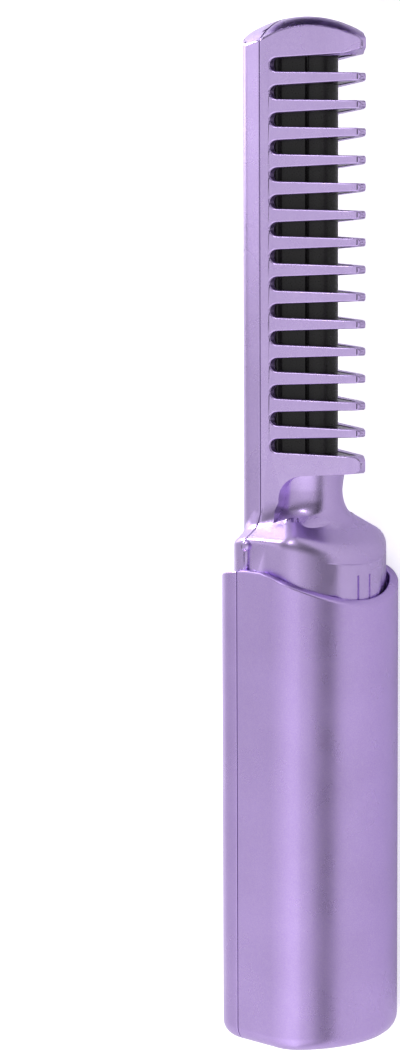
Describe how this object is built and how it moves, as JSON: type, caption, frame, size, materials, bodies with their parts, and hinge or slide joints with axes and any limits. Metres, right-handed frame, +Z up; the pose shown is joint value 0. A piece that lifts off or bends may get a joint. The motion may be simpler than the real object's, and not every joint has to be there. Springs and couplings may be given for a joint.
{
  "type": "hair straightening brush",
  "caption": "Cordless hair straightening comb with a heated finned plate between its teeth, a round power button, indicator lights and a pull-off protective cap.",
  "frame": {"origin": "on the flat side that the brush lies on, in the middle of that side's width, 40 mm from the handle's foot", "axes": "+X along the brush towards the comb's tip and the cap, +Y towards the power button, +Z up from the flat side it lies on"},
  "size_m": [0.3526, 0.0352, 0.0366],
  "materials": {
    "lavender_paint": "satin metallic paint with a fine sparkle",
    "comb_paint": "satin metallic paint with a fine sparkle",
    "black_plastic": "moulded",
    "lens_black": "dark smoked",
    "white_plastic": "moulded",
    "board_green": "solder mask",
    "screw_steel": "plated",
    "socket_steel": "drawn",
    "cell_wrap": "film wrap",
    "heater_black": "black ceramic coating",
    "ceramic_white": "fired ceramic",
    "clamp_steel": "stamped",
    "sensor_bead": "glass bead",
    "lead_red": "silicone",
    "barrier_sheet": "mica sheet"
  },
  "bodies": {
    "handle": {"handle_rear_shell": "lavender_paint", "handle_front_shell": "lavender_paint", "comb_rear_shell": "comb_paint", "comb_front_cover": "comb_paint", "power_switch": "black_plastic", "indicator_lenses": "lens_black", "indicator_leds": "white_plastic", "main_board": "board_green", "controller_chip": "black_plastic", "board_screws": "screw_steel", "charging_socket": "socket_steel", "battery_cell": "cell_wrap", "battery_cradle": "white_plastic", "battery_tabs": "screw_steel", "heating_plate": "heater_black", "ceramic_heater": "ceramic_white", "clamp_plate": "clamp_steel", "clamp_screws": "screw_steel", "temperature_sensor": "sensor_bead", "heater_leads": "lead_red", "lead_terminal": "white_plastic", "heat_barrier": "barrier_sheet"},
    "cap": {"cap": "lavender_paint"},
    "button": {"power_button": "lavender_paint", "switch_plunger": "black_plastic"}
  },
  "joints": [
    {"name": "cap_slide", "type": "slide", "parent": "handle", "child": "cap", "axis": [-1, 0, 0], "range_m": [0, 0.1286]},
    {"name": "button_press", "type": "slide", "parent": "handle", "child": "button", "axis": [0, -1, 0], "range_m": [0, 0.0008], "stiffness_N_per_m": 2000}
  ]
}
